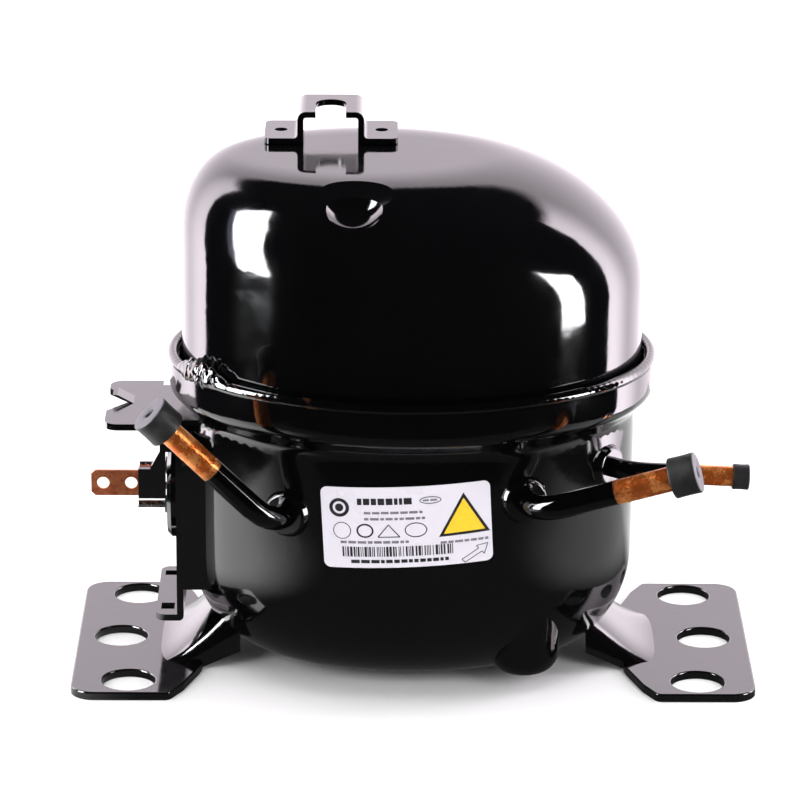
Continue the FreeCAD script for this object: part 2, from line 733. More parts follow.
def top_bracket():
    """Hat-shaped strip welded on top of the cover, with a notched arch."""
    body = new_body("top_bracket_strip")
    sheet_t = dim("bracket_sheet")
    low = dim("cover_top") + dim("bracket_gap")
    top = dim("cover_top") + dim("arch_rise")
    left, right = dim("arch_left"), dim("arch_right")
    middle_y = dim("bracket_front") + dim("bracket_depth") / 2
    hat = sketch_on(body, "XZ", -middle_y)
    outline(hat, [
        (dim("bracket_left"), low), (left + sheet_t, low), (left + sheet_t, top - sheet_t),
        (right - sheet_t, top - sheet_t), (right - sheet_t, low), (dim("bracket_right"), low),
        (dim("bracket_right"), low + sheet_t), (right, low + sheet_t), (right, top), (left, top),
        (left, low + sheet_t), (dim("bracket_left"), low + sheet_t)])
    pad(body, hat, dim("bracket_depth"), centred=True)
    arch_top = float(top)
    tab_top = float(low + sheet_t)
    round_edges(body, 2.6, lambda box: along_y(box) and abs(box.ZMax - arch_top) < 0.01)
    under_arch = arch_top - mm("bracket_sheet")
    round_edges(body, 0.8, lambda box: along_y(box) and abs(box.ZMax - under_arch) < 0.01)
    round_edges(body, 1.2, lambda box: along_y(box) and abs(box.ZMax - tab_top) < 0.01
                and mm("bracket_left") + 1 < box.XMax < mm("bracket_right") - 1)
    round_edges(body, 2.2, lambda box: upright(box)
                and (box.XMax < mm("bracket_left") + 0.1 or box.XMin > mm("bracket_right") - 0.1))
    middle = (left + right) / 2
    half_notch = dim("arch_notch") / 2
    notch_end = dim("bracket_front") + dim("bracket_depth") * 0.5
    notch = sketch_on(body, "XY", top + 1)
    rectangle(notch, middle - half_notch, middle + half_notch, dim("bracket_front") - 1, notch_end)
    pocket(body, notch, sheet_t + 2.5)
    notch_round = sketch_on(body, "XY", top + 1)
    circle(notch_round, half_notch, middle, notch_end)
    pocket(body, notch_round, sheet_t + 2.5)
    for x in (dim("bracket_left") + 4.8, dim("bracket_right") - 4.8):
        dent = sketch_on(body, "XY", low + sheet_t + 0.1)
        circle(dent, 1.9, x, middle_y)
        pocket(body, dent, 1.1)
        projection = sketch_on(body, "XY", low)
        circle(projection, 1.1, x, middle_y)
        pad(body, projection, dim("bracket_gap"), backwards=True)
    return body


strip = top_bracket()
doc.recompute()
solid_cover = shaped("cover_space", cover_solid(0, mm("cover_edge")))
piece("top_bracket", combined("Cut", "top_bracket", strip, solid_cover))
rim_space = bowl_outer.fuse(solid_cover.Shape)
piece("weld_seam", shaped("weld_seam", Part.makeSolid(bead).cut(rim_space)))


# --------------------------------------------------------------------------------------------- feet
def foot(name, side):
    """The drilled plate of one sheet foot."""
    body = new_body(f"{name}_blank")
    sheet_t = dim("foot_sheet")
    outer = dim("foot_width") / 2
    back = dim("foot_depth") / 2
    neck_y = dim("foot_neck_depth") / 2
    neck_x = dim("foot_neck_edge")
    inner = dim("foot_inner_edge")
    plate = sketch_on(body, "XY")
    half = [(outer, back), (inner, back), (inner - 4, back - 7.5), (neck_x, neck_y + 2.5)]
    points = half + [(x, -y) for x, y in reversed(half)]
    outline(plate, [(x * side, y) for x, y in points])
    pad(body, plate, sheet_t)
    edge_x = float(outer)
    round_edges(body, dim("foot_corner"), lambda box: upright(box) and abs(box.XMin) > edge_x - 0.01)
    round_edges(body, 2.5, lambda box: upright(box) and 45 > abs(box.YMin) > 44
                and abs(box.XMin) < edge_x - 8 or upright(box) and abs(box.YMin) > 44.9
                and abs(box.XMin) < 80)
    holes = sketch_on(body, "XY", sheet_t + 3)
    half_x, half_y = dim("mount_span") / 2, dim("mount_depth") / 2
    circle(holes, dim("grommet_hole") / 2, half_x * side, half_y)
    circle(holes, dim("grommet_hole") / 2, half_x * side, -half_y)
    circle(holes, dim("grommet_hole") / 2, dim("middle_hole_span") / 2 * side, 0)
    pocket(body, holes, sheet_t + 6)
    plate_top = float(sheet_t)
    round_edges(body, 0.5, lambda box: box.ZLength < 1e-4 and box.ZMax > plate_top - 0.01)
    return body


def arch_wire(x, low, height, half_y):
    """Closed section of the neck across Y: an arch with tight shoulders, and its base line."""
    squareness = 2 / 3.4
    points = []
    for step in range(19):
        turn = math.pi * step / 18
        across, up = math.cos(turn), math.sin(turn)
        y = math.copysign(abs(across) ** squareness, across) * half_y
        points.append(Vector(x, y, low + (height - low) * max(up, 0) ** squareness))
    arch = Part.BSplineCurve()
    arch.interpolate(points)
    return Part.Wire([arch.toShape(), Part.LineSegment(points[-1], points[0]).toShape()])


def neck_solid(which, inset, low, first):
    """The neck's outer solid, or with an inset the hollow under it."""
    wires = []
    side = -1 if which == "left" else 1
    start, end = mm(f"{which}_neck_start"), mm("neck_end")
    crest = mm(f"{which}_neck_height")
    ground = mm("foot_sheet") - 0.5
    for step in range(first, 7):
        share = step / 6
        rise = share ** 2 * (2 - share)
        height = ground + (crest - ground) * rise - inset
        half_y = mm("foot_neck_depth") / 2 + mm("neck_flare") * (1 - share) ** 2 - inset
        wires.append(arch_wire(side * (start + (end - start) * share), low, height, half_y))
    return Part.makeLoft(wires, True)


def pressed_foot(which):
    """A drilled plate whose arched neck rises to the shell."""
    name = f"foot_{which}"
    side = -1 if which == "left" else 1
    plate = foot(name, side)
    doc.recompute()
    sheet_t = mm("foot_sheet")
    hollow = neck_solid(which, sheet_t, -1.0, 2)
    inner_x, end_x = side * (mm("foot_neck_edge") + 1), side * mm("neck_end")
    below = Part.Face(Part.makePolygon([
        Vector(inner_x, -40, -1), Vector(end_x, -40, -1), Vector(end_x, -40, mm("skirt_rise")),
        Vector(inner_x, -40, 0), Vector(inner_x, -40, -1)])).extrude(Vector(0, 80, 0))
    raised = plate.Shape.fuse(neck_solid(which, 0, 0.0, 0))
    return shaped(name, raised.cut(hollow).cut(below).cut(shell_space.Shape).removeSplitter())


piece("foot_left", pressed_foot("left"))
piece("foot_right", pressed_foot("right"))


# -------------------------------------------------------------------------------- the terminal side
def terminal_fence():
    """Folded plate round the terminal, with a slotted flange below and returns to the shell."""
    body = new_body("terminal_fence_blank")
    face = dim("fence_face")
    sheet_t = dim("fence_sheet")
    half_y = dim("fence_width") / 2
    low, high = dim("fence_bottom"), dim("fence_top")
    plate = sketch_on(body, "YZ", face)
    rectangle(plate, -half_y, half_y, low, high)
    pad(body, plate, sheet_t)
    flange = sketch_on(body, "XY", low)
    rectangle(flange, face - dim("fence_flange"), face + sheet_t, -half_y, half_y)
    pad(body, flange, sheet_t)
    for y in (half_y - sheet_t, -half_y):
        side = sketch_on(body, "XY", low + 10)
        rectangle(side, face, face + 13, y, y + sheet_t)
        pad(body, side, high - low - 16)
    fold_z = float(low)
    round_edges(body, 1.5, lambda box: along_y(box) and abs(box.ZMin - fold_z) < 0.01
                and box.XMin > mm("fence_face") - 0.1)
    round_edges(body, 3, lambda box: upright(box) and box.XMin < mm("fence_face") - 5)
    round_edges(body, 3, lambda box: along_x(box) and box.ZMin > mm("fence_top") - 0.1)
    window = sketch_on(body, "YZ", face - 1)
    circle(window, dim("terminal_radius") + 1.5, 0, dim("terminal_height"))
    pocket(body, window, sheet_t + 2, backwards=True)
    slots = sketch_on(body, "XY", low + sheet_t + 1)
    for front, back in ((12.6, 16.4), (-15.4, -10.4)):
        rectangle(slots, face - 5, face - 1, as_size(front), as_size(back))
    pocket(body, slots, sheet_t + 2)
    return body


fence_blank = terminal_fence()
piece("terminal_fence", combined("Cut", "terminal_fence", fence_blank, shell_space))


def clip_plate():
    """Level plate for the relay cover's clip, with a weld tab bent down to the shell."""
    body = new_body("upper_clip_blank")
    half_y = dim("fence_width") / 2
    low = dim("clip_height")
    outer, inner = dim("clip_outer"), dim("clip_inner")
    sheet_t = dim("fence_sheet")
    plate = sketch_on(body, "XY", low)
    outline(plate, [(outer, -half_y), (inner - 8, -half_y), (inner - 8, -half_y + 4),
                    (inner + 8, -half_y + 4), (inner + 8, half_y - 4), (inner - 8, half_y - 4),
                    (inner - 8, half_y), (outer, half_y), (outer, as_size(12.6)),
                    (outer + 8, as_size(2.5)), (outer, as_size(-7.6))])
    pad(body, plate, sheet_t)
    tab = sketch_on(body, "YZ", inner - sheet_t - 0.5)
    rectangle(tab, as_size(-12), as_size(12), dim("fence_top") + 0.6, low + sheet_t)
    pad(body, tab, sheet_t)
    outer_x = float(outer)
    round_edges(body, 4, lambda box: upright(box) and box.XMin < outer_x + 0.1 and abs(box.YMin) > 19)
    hood = sketch_on(body, "XZ", as_size(-2.5))
    outline(hood, [(outer + 7.6, low + sheet_t - 0.4), (outer + 8.6, low + sheet_t - 0.4),
                   (outer + 3, low + sheet_t + 2.6), (outer + 1.6, low + sheet_t + 2.6)])
    pad(body, hood, as_size(7), centred=True)
    return body


clip_blank = clip_plate()
piece("upper_clip_plate", combined("Cut", "upper_clip_plate", clip_blank, shell_space))

PIN_PLACES = [(-8, 48.5), (8, 48.5), (0, 58)]
cup_profile = [(0, 0), (dim("terminal_radius") - 1.2, 0), (dim("terminal_radius"), 1.2),
               (dim("terminal_radius"), 14), (dim("terminal_radius") - 2, 14),
               (dim("terminal_radius") - 2, 4.5), (dim("terminal_radius") - 3.5, 3), (0, 3)]
cup = turned_body("hermetic_terminal", [(as_size(r), as_size(z)) for r, z in cup_profile])
place(cup, dim("terminal_face"), 0, dim("terminal_height"), TO_PLUS_X)
cup_holes = sketch_on(cup, "XY", -1)
for y, z in PIN_PLACES:
    circle(cup_holes, dim("bead_radius"), dim("terminal_height") - z, as_size(y))
pocket(cup, cup_holes, 6, backwards=True)
piece("hermetic_terminal", cup)

hole_start = Vector(mm("terminal_face") - 1, 0, mm("terminal_height"))
terminal_hole = Part.makeCylinder(mm("terminal_radius") + 0.05, 22, hole_start, Vector(1, 0, 0))
bowl = bowl.cut(terminal_hole)
piece("lower_shell", shaped("lower_shell", bowl))

pins = new_body("terminal_pins")
pin_sketch = sketch_on(pins, "YZ", dim("pin_tip"))
for y, z in PIN_PLACES:
    circle(pin_sketch, dim("pin_radius"), as_size(y), as_size(z))
pad(pins, pin_sketch, dim("pin_length"))
round_edges(pins, 0.4, lambda box: box.XLength < 1e-4 and box.XMin < mm("pin_tip") + 0.1)
piece("terminal_pins", pins)

glass = new_body("terminal_glass")
glass_sketch = sketch_on(glass, "YZ", dim("terminal_face") - 0.7)
for y, z in PIN_PLACES:
    circle(glass_sketch, dim("bead_radius"), as_size(y), as_size(z))
    circle(glass_sketch, dim("pin_radius"), as_size(y), as_size(z))
pad(glass, glass_sketch, 4.4)
piece("terminal_glass", glass)

earth = new_body("earth_tab")
blade_sheet = dim("blade_sheet")
blade = sketch_on(earth, "XZ", -dim("blade_y"))
outline(blade, [(as_size(x), as_size(z)) for x, z in (
    (-96.7, 53.2), (-95.4, 52), (-78, 52), (-78, 60), (-95.4, 60), (-96.7, 58.8))])
pad(earth, blade, blade_sheet, centred=True)
blade_holes = sketch_on(earth, "XZ", -dim("blade_y") - 2)
circle(blade_holes, 1.85, as_size(-93.1), as_size(56))
circle(blade_holes, 1.85, as_size(-84.7), as_size(56))
pocket(earth, blade_holes, 4, backwards=True)
piece("earth_tab", earth)

holder = new_body("earth_bracket")
holder_sketch = sketch_on(holder, "XZ", -dim("blade_y") + 0.45)
outline(holder_sketch, [(as_size(x), as_size(z)) for x, z in (
    (-82.5, 51.6), (-82.5, 61), (-79, 61), (-76, 66.6), (-76, 70), (-71.05, 70), (-71.05, 66.4),
    (-74.3, 66.4), (-74.3, 51.6))])
pad(holder, holder_sketch, 1.6)
piece("earth_bracket", holder)

# ---------------------------------------------------------------------------------- rating label
label_sheet = bowl_solid(-0.22, mm("rim_top")).cut(bowl_solid(-0.03, mm("rim_top") + 1))
half_width, half_height = mm("label_width") / 2, mm("label_height") / 2
label_block = Part.makeBox(2 * half_width, 30, 2 * half_height, Vector(-half_width, -60, -half_height))
label_block = label_block.makeFillet(2, [edge for edge in label_block.Edges if along_y(edge.BoundBox)])
label_block.rotate(Vector(), Vector(0, 1, 0), -3)
label_block.translate(Vector(mm("label_x"), 0, mm("label_z")))
piece("rating_label", shaped("rating_label", label_sheet.common(label_block)))

# ------------------------------------------------------------------------------------------- motor
shaft_x = dim("shaft_x")
stack_bottom = dim("stack_bottom")
stack_top = stack_bottom + dim("stack_height")


def rounded_block(body, plane, offset, width, height, corner, length, x=0, y=0):
    """A pad whose outline is a rectangle with round corners, centred at (x, y)."""
    sketch = sketch_on(body, plane, offset)
    rounded_outline(sketch, x - width / 2, x + width / 2, y - height / 2, y + height / 2, corner)
    return pad(body, sketch, length)


def four(x, y):
    """The four places of a rectangular pattern."""
    return [(x, y), (-x, y), (-x, -y), (x, -y)]


def stator_core():
    """Laminated stack, rounded oblong outside, slotted bore and four bolt holes."""
    body = new_body("stator_core")
    rounded_block(body, "XY", stack_bottom, dim("stator_width"), dim("stator_depth"),
                      dim("stator_corner"), dim("stack_height"))
    holes = sketch_on(body, "XY", stack_top + 1)
    circle(holes, dim("stator_bore") / 2)
    for x, y in four(dim("bolt_x"), dim("bolt_y")):
        circle(holes, 2.6, x, y)
    pocket(body, holes, dim("stack_height") + 2)
    slot = sketch_on(body, "XY", stack_top + 1)
    rectangle(slot, dim("stator_bore") / 2 + 1.2, dim("slot_outer"), -dim("slot_width") / 2,
              dim("slot_width") / 2)
    polar(body, pocket(body, slot, dim("stack_height") + 2), dim("slot_count"))
    mouth = sketch_on(body, "XY", stack_top + 1)
    rectangle(mouth, dim("stator_bore") / 2 - 1, dim("stator_bore") / 2 + 2, as_size(-1), as_size(1))
    polar(body, pocket(body, mouth, dim("stack_height") + 2), dim("slot_count"))
    return place(body, shaft_x, 0, 0)


piece("stator_core", stator_core())


def stator_windings():
    """Copper in the slots, joined by the bundled end turns above and below the stack."""
    body = new_body("stator_windings")
    inner, outer = dim("stator_bore") / 2 + 1.6, dim("slot_outer") - 0.3
    half = dim("slot_width") / 2 - 0.3
    for low, high in ((as_size(15), stack_bottom - 1.5), (stack_top + 1.5, as_size(77))):
        ring = sketch_on(body, "XY", low)
        circle(ring, outer)
        circle(ring, inner)
        pad(body, ring, high - low)
    round_edges(body, 2, lambda box: box.ZLength < 1e-4
                and (box.ZMax < 15.1 or box.ZMax > 76.9))
    bar = sketch_on(body, "XY", stack_bottom - 1.6)
    rectangle(bar, inner + 0.1, outer - 0.1, -half, half)
    polar(body, pad(body, bar, dim("stack_height") + 3.2), dim("slot_count"))
    return place(body, shaft_x, 0, 0)


piece("stator_windings", stator_windings())


def end_insulators():
    """Thin plastic rings between the stack and the end turns."""
    body = new_body("end_insulators")
    for low in (stack_bottom - 1.4, stack_top + 0.1):
        ring = sketch_on(body, "XY", low)
        circle(ring, dim("slot_outer") + 0.5)
        circle(ring, dim("stator_bore") / 2 + 0.6)
        pad(body, ring, 1.3)
    slot = sketch_on(body, "XY", stack_top + 2)
    rectangle(slot, dim("stator_bore") / 2 + 1.3, dim("slot_outer"), -dim("slot_width") / 2,
              dim("slot_width") / 2)
    polar(body, pocket(body, slot, dim("stack_height") + 6), dim("slot_count"))
    return place(body, shaft_x, 0, 0)


piece("end_insulators", end_insulators())


def stator_bolts():
    """Four long bolts that hang the stator from the block."""
    body = new_body("stator_bolts")
    places = four(dim("bolt_x"), dim("bolt_y"))
    shanks = sketch_on(body, "XY", stack_bottom - 1)
    for x, y in places:
        circle(shanks, 2.4, x, y)
    pad(body, shanks, dim("stack_height") + 13)
    heads = sketch_on(body, "XY", stack_bottom - 4)
    for x, y in places:
        hexagon(heads, dim("bolt_head"), x, y)
    pad(body, heads, 3.98)
    return place(body, shaft_x, 0, 0)


piece("stator_bolts", stator_bolts())


def rotor_core():
    """Laminated rotor with holes for its bars."""
    body = new_body("rotor_core")
    disc = sketch_on(body, "XY", stack_bottom)
    circle(disc, dim("rotor_od") / 2)
    circle(disc, dim("shaft_radius") + 0.01)
    pad(body, disc, dim("stack_height"))
    hole = sketch_on(body, "XY", stack_top + 1)
    circle(hole, dim("bar_radius") + 0.02, dim("bar_circle"), 0)
    polar(body, pocket(body, hole, dim("stack_height") + 2), dim("bar_count"))
    return place(body, shaft_x, 0, 0)


piece("rotor_core", rotor_core())


def rotor_cage():
    """Cast aluminium cage: two end rings joined by bars."""
    body = new_body("rotor_cage")
    for low in (stack_bottom - 5, stack_top + 0.02):
        ring = sketch_on(body, "XY", low)
        circle(ring, dim("bar_circle") + dim("bar_radius") + 0.7)
        circle(ring, dim("bar_circle") - dim("bar_radius") - 1.2)
        pad(body, ring, 4.98)
    bar = sketch_on(body, "XY", stack_bottom - 0.1)
    circle(bar, dim("bar_radius"), dim("bar_circle"), 0)
    polar(body, pad(body, bar, dim("stack_height") + 0.3), dim("bar_count"))
    return place(body, shaft_x, 0, 0)


piece("rotor_cage", rotor_cage())


# ------------------------------------------------------------------------------------- crankshaft
def crankshaft():
    """Journal, thrust flange with counterweight, and the crank pin, which rests at +Y."""
    body = new_body("crankshaft")
    journal = sketch_on(body, "XY", stack_bottom - 2)
    circle(journal, dim("shaft_radius"))
    pad(body, journal, dim("flange_z") - stack_bottom + 2.5)
    flange = sketch_on(body, "XY", dim("flange_z"))
    circle(flange, 15)
    pad(body, flange, 5)
    weight = sketch_on(body, "XY", dim("flange_z"))
    outline(weight, [(as_size(x), as_size(y)) for x, y in (
        (14, -2), (15.5, -12), (10, -18.5), (0, -21.2), (-10, -18.5), (-15.5, -12), (-14, -2))])
    pad(body, weight, 5)
    crank_pin = sketch_on(body, "XY", dim("flange_z") + 4.9)
    circle(crank_pin, dim("pin_journal"), 0, dim("throw"))
    pad(body, crank_pin, 20.6)
    oil_hole = sketch_on(body, "XY", stack_bottom - 3)
    circle(oil_hole, 2.5)
    pocket(body, oil_hole, 50, backwards=True)
    pin_hole = sketch_on(body, "XY", dim("flange_z") + 30)
    circle(pin_hole, 2, 0, dim("throw"))
    pocket(body, pin_hole, 28)
    return place(body, shaft_x, 0, 0)


piece("crankshaft", crankshaft())

pickup = turned_body("oil_pickup", [(as_size(r), as_size(z)) for r, z in (
    (3, 9), (4, 9), (7.2, 15), (7.2, 25.98), (2.6, 25.98), (2.6, 23), (6.2, 23), (6.2, 15.4))])
piece("oil_pickup", place(pickup, shaft_x, 0, 0))


def thrust_bearing():
    """Two races, a cage and a ring of balls between the block and the crank flange."""
    low, high = dim("bearing_top"), dim("flange_z")
    for name, z in (("lower_race", low + 0.01), ("upper_race", high - 1.01)):
        body = new_body(name)
        ring = sketch_on(body, "XY", z)
        circle(ring, 15)
        circle(ring, 8.6)
        pad(body, ring, 1)
        piece(body.Name, place(body, shaft_x, 0, 0))
    cage = new_body("ball_cage")
    ring = sketch_on(cage, "XY", (low + high) / 2 - 0.5)
    circle(ring, 14.2)
    circle(ring, 9.4)
    pad(cage, ring, 1)
    hole = sketch_on(cage, "XY", (low + high) / 2 + 1)
    circle(hole, 1.6, 11.8, 0)
    polar(cage, pocket(cage, hole, 3), 10)
    piece("ball_cage", place(cage, shaft_x, 0, 0))
    balls = []
    for number in range(10):
        turn = 2 * math.pi * number / 10
        balls.append(Part.makeSphere(1.45, Vector(
            mm("shaft_x") + 11.8 * math.cos(turn), 11.8 * math.sin(turn), float(low + high) / 2)))
    piece("thrust_balls", shaped("thrust_balls", Part.makeCompound(balls)))


thrust_bearing()


# ------------------------------------------------------------------------------- pump and its drive
def slide_block():
    """Round block that turns on the crank pin and slides along the yoke."""
    body = new_body("slide_block")
    bar = sketch_on(body, "XZ")
    circle(bar, dim("yoke_radius") - dim("bearing_gap"), 0, dim("pump_z"))
    pad(body, bar, 19, centred=True)
    bearing = sketch_on(body, "XY", dim("pump_z") + 12)
    circle(bearing, dim("pin_journal") + dim("bearing_gap"))
    pocket(body, bearing, 24)
    return place(body, shaft_x, dim("throw"), 0)


piece("slide_block", slide_block())


def slide_tube():
    """Cross tube of the yoke, open below for the crank pin and bored above for the plug."""
    body = new_body("slide_tube")
    wall = sketch_on(body, "XZ")
    circle(wall, dim("yoke_radius") + dim("yoke_wall"), 0, dim("pump_z"))
    circle(wall, dim("yoke_radius"), 0, dim("pump_z"))
    pad(body, wall, dim("yoke_length"), centred=True)
    window = sketch_on(body, "XY", dim("pump_z") - 4)
    half_y = dim("throw") + dim("pin_journal") + 0.8
    rectangle(window, -dim("pin_journal") - 0.8, dim("pin_journal") + 0.8, -half_y, half_y)
    pocket(body, window, 14)
    plug_hole = sketch_on(body, "XY", dim("pump_z") + 20)
    circle(plug_hole, 4 + dim("bearing_gap"))
    pocket(body, plug_hole, 14)
    return place(body, shaft_x, 0, 0)


piece("slide_tube", slide_tube())

plug_low = dim("pump_z") + dim("yoke_radius") + 0.35
oil_plug = turned_body("yoke_oil_plug", [(as_size(0), plug_low), (as_size(4), plug_low),
                                         (as_size(4), plug_low + 3.6), (as_size(5), plug_low + 3.6),
                                         (as_size(5), plug_low + 5), (as_size(4.4), plug_low + 5.6),
                                         (as_size(0), plug_low + 5.6)])
piece("yoke_oil_plug", place(oil_plug, shaft_x, 0, 0))


def piston():
    """Piston with two oil grooves, hollow from behind and brazed to the slide tube."""
    crown = dim("piston_rest") - shaft_x
    root = dim("yoke_radius") + dim("yoke_wall")
    radius = dim("piston_radius")
    body = new_body("piston_blank")
    profile = sketch_on(body, "XZ")
    groove = 0.5
    outline(profile, [
        (as_size(0), crown), (as_size(0), crown - 4), (as_size(7), crown - 4), (as_size(7), root - 4),
        (radius, root - 4), (radius, crown - 9), (radius - groove, crown - 9),
        (radius - groove, crown - 8), (radius, crown - 8), (radius, crown - 5),
        (radius - groove, crown - 5), (radius - groove, crown - 4), (radius, crown - 4),
        (radius, crown - 0.4), (radius - 0.4, crown)])
    turned(body, profile)
    place(body, shaft_x, 0, dim("pump_z"), TO_PLUS_X)
    seat = cylinder("piston_seat", root + 0.02, dim("yoke_length") + 2, shaft_x,
                    dim("yoke_length") / 2 + 1, dim("pump_z"), Rotation(Vector(1, 0, 0), 90))
    return combined("Cut", "piston", body, seat)


piece("piston", piston())


def cylinder_block():
    """Cast block: deck on four posts, main bearing, cylinder and its support."""
    body = new_body("cylinder_block")
    deck_top = dim("bearing_top")
    rounded_block(body, "XY", deck_top - 8, as_size(72), as_size(56), as_size(12), as_size(8))
    posts = sketch_on(body, "XY", stack_top + 0.02)
    for x, y in four(dim("bolt_x"), dim("bolt_y")):
        circle(posts, 4.8, x, y)
    pad(body, posts, deck_top - stack_top - 1)
    hub = sketch_on(body, "XY", stack_top + 6)
    circle(hub, 13)
    pad(body, hub, deck_top - stack_top - 7)
    start, face = dim("bore_start") - shaft_x, dim("block_face") - shaft_x
    support = sketch_on(body, "XY", deck_top - 0.5)
    rectangle(support, start + 1, face, as_size(-14), as_size(14))
    pad(body, support, dim("pump_z") - deck_top)
    barrel = sketch_on(body, "YZ", start)
    circle(barrel, 17, 0, dim("pump_z"))
    pad(body, barrel, face - start)
    rounded_block(body, "YZ", face - 8, dim("head_width"), dim("head_width"), as_size(5),
                      as_size(8), 0, dim("pump_z"))
    pot = sketch_on(body, "XY", deck_top - 8)
    circle(pot, 11.5, 33, 29)
    pad(body, pot, 20)
    pot_hollow = sketch_on(body, "XY", deck_top + 13)
    circle(pot_hollow, 8.5, 33, 29)
    pocket(body, pot_hollow, 15)
    bearing = sketch_on(body, "XY", deck_top + 1)
    circle(bearing, dim("shaft_radius") + dim("bearing_gap"))
    pocket(body, bearing, 30)
    bore = sketch_on(body, "YZ", start - 1)
    circle(bore, dim("bore_radius"), 0, dim("pump_z"))
    pocket(body, bore, face - start + 2, backwards=True)
    bolt_holes = sketch_on(body, "XY", stack_top - 1)
    for x, y in four(dim("bolt_x"), dim("bolt_y")):
        circle(bolt_holes, 2.45, x, y)
    pocket(body, bolt_holes, 14, backwards=True)
    tapped = sketch_on(body, "YZ", face + 1)
    for y, z in four(dim("head_bolt"), dim("head_bolt")):
        circle(tapped, 1.95, y, dim("pump_z") + z)
    pocket(body, tapped, 8)
    return place(body, shaft_x, 0, 0)


piece("cylinder_block", cylinder_block())


def head_stack_piece(name, front, thickness, holes, corner=5.0):
    """A flat piece of the head stack, drilled for the four head bolts and with its own holes."""
    body = new_body(name)
    rounded_block(body, "YZ", front, dim("head_width"), dim("head_width"), as_size(corner),
                      as_size(thickness), 0, dim("pump_z"))
    drilled = sketch_on(body, "YZ", front - 1)
    for y, z in four(dim("head_bolt"), dim("head_bolt")):
        circle(drilled, 2.05, y, dim("pump_z") + z)
    pocket(body, drilled, thickness + 2, backwards=True)
    for add_holes in holes:
        cut_sketch = sketch_on(body, "YZ", front - 1)
        add_holes(cut_sketch)
        pocket(body, cut_sketch, thickness + 2, backwards=True)
    return body


SUCTION_PORT_Y, DISCHARGE_PORT_Y = -6, 6
pump_z = dim("pump_z")
gasket_front = dim("block_face") + 0.01
plate_front = gasket_front + dim("gasket_sheet")
plate_back = plate_front + dim("plate_sheet")
head_front = plate_back + dim("head_gasket_sheet") + 0.02

piece("plate_gasket", head_stack_piece(
    "plate_gasket", gasket_front, dim("gasket_sheet") - 0.02,
    [lambda sketch: circle(sketch, dim("bore_radius") + 0.6, 0, pump_z)]))
piece("valve_plate", head_stack_piece(
    "valve_plate", plate_front, dim("plate_sheet"),
    [lambda sketch: circle(sketch, 2.6, as_size(SUCTION_PORT_Y), pump_z - 3),
     lambda sketch: circle(sketch, 2.2, as_size(DISCHARGE_PORT_Y), pump_z - 3)]))
piece("head_gasket", head_stack_piece(
    "head_gasket", plate_back + 0.01, dim("head_gasket_sheet"),
    [lambda sketch: rectangle(sketch, as_size(-12), as_size(-1.2), pump_z - 10, pump_z + 10),
     lambda sketch: rectangle(sketch, as_size(1.2), as_size(12), pump_z - 10, pump_z + 10)]))


def reed(name, x, y, low):
    """A thin valve leaf, rounded over its port and clamped at its root."""
    body = new_body(name)
    leaf = sketch_on(body, "YZ", x)
    rectangle(leaf, y - 1.8, y + 1.8, pump_z - 3, pump_z + low)
    pad(body, leaf, dim("reed_sheet"))
    tip = sketch_on(body, "YZ", x)
    circle(tip, 3.4, y, pump_z - 3)
    pad(body, tip, dim("reed_sheet"))
    return body


piece("suction_reed", reed("suction_reed", plate_front - dim("reed_sheet") - 0.03,
                           as_size(SUCTION_PORT_Y), 9))
piece("discharge_reed", reed("discharge_reed", plate_back + 0.03, as_size(DISCHARGE_PORT_Y), 9))


def reed_stop():
    """Sloping guard that limits the discharge reed's lift."""
    body = new_body("reed_stop")
    guard = sketch_on(body, "XZ", as_size(-DISCHARGE_PORT_Y))
    root = plate_back + dim("reed_sheet") + 0.12
    outline(guard, [(root, pump_z + 9.5), (root + 1.2, pump_z + 9.5), (root + 2.8, pump_z - 6.5),
                    (root + 1.6, pump_z - 6.5)])
    pad(body, guard, as_size(6), centred=True)
    return body


piece("reed_stop", reed_stop())


def cylinder_head():
    """Head with a suction and a discharge chamber side by side."""
    body = new_body("cylinder_head")
    rounded_block(body, "YZ", head_front, dim("head_width"), dim("head_width"), as_size(5),
                      dim("head_depth"), 0, pump_z)
    back = float(head_front + dim("head_depth"))
    round_edges(body, 1.2, lambda box: box.XLength < 1e-4 and box.XMin > back - 0.01)
    drilled = sketch_on(body, "YZ", head_front - 1)
    for y, z in four(dim("head_bolt"), dim("head_bolt")):
        circle(drilled, 2.05, y, pump_z + z)
    pocket(body, drilled, dim("head_depth") + 2, backwards=True)
    chambers = sketch_on(body, "YZ", head_front - 0.5)
    rectangle(chambers, as_size(-12), as_size(-1.2), pump_z - 10, pump_z + 10)
    rectangle(chambers, as_size(1.2), as_size(12), pump_z - 10, pump_z + 10)
    pocket(body, chambers, 6.5, backwards=True)
    return body


piece("cylinder_head", cylinder_head())


def head_bolts():
    """Four bolts through the head stack into the block."""
    body = new_body("head_bolts")
    back = head_front + dim("head_depth") + 0.02
    shanks = sketch_on(body, "YZ", dim("block_face") - 6)
    heads = sketch_on(body, "YZ", back)
    for y, z in four(dim("head_bolt"), dim("head_bolt")):
        circle(shanks, 1.9, y, pump_z + z)
        hexagon(heads, 6.4, y, pump_z + z)
    pad(body, shanks, back - dim("block_face") + 6.2)
    pad(body, heads, 3.2)
    return body


piece("head_bolts", head_bolts())


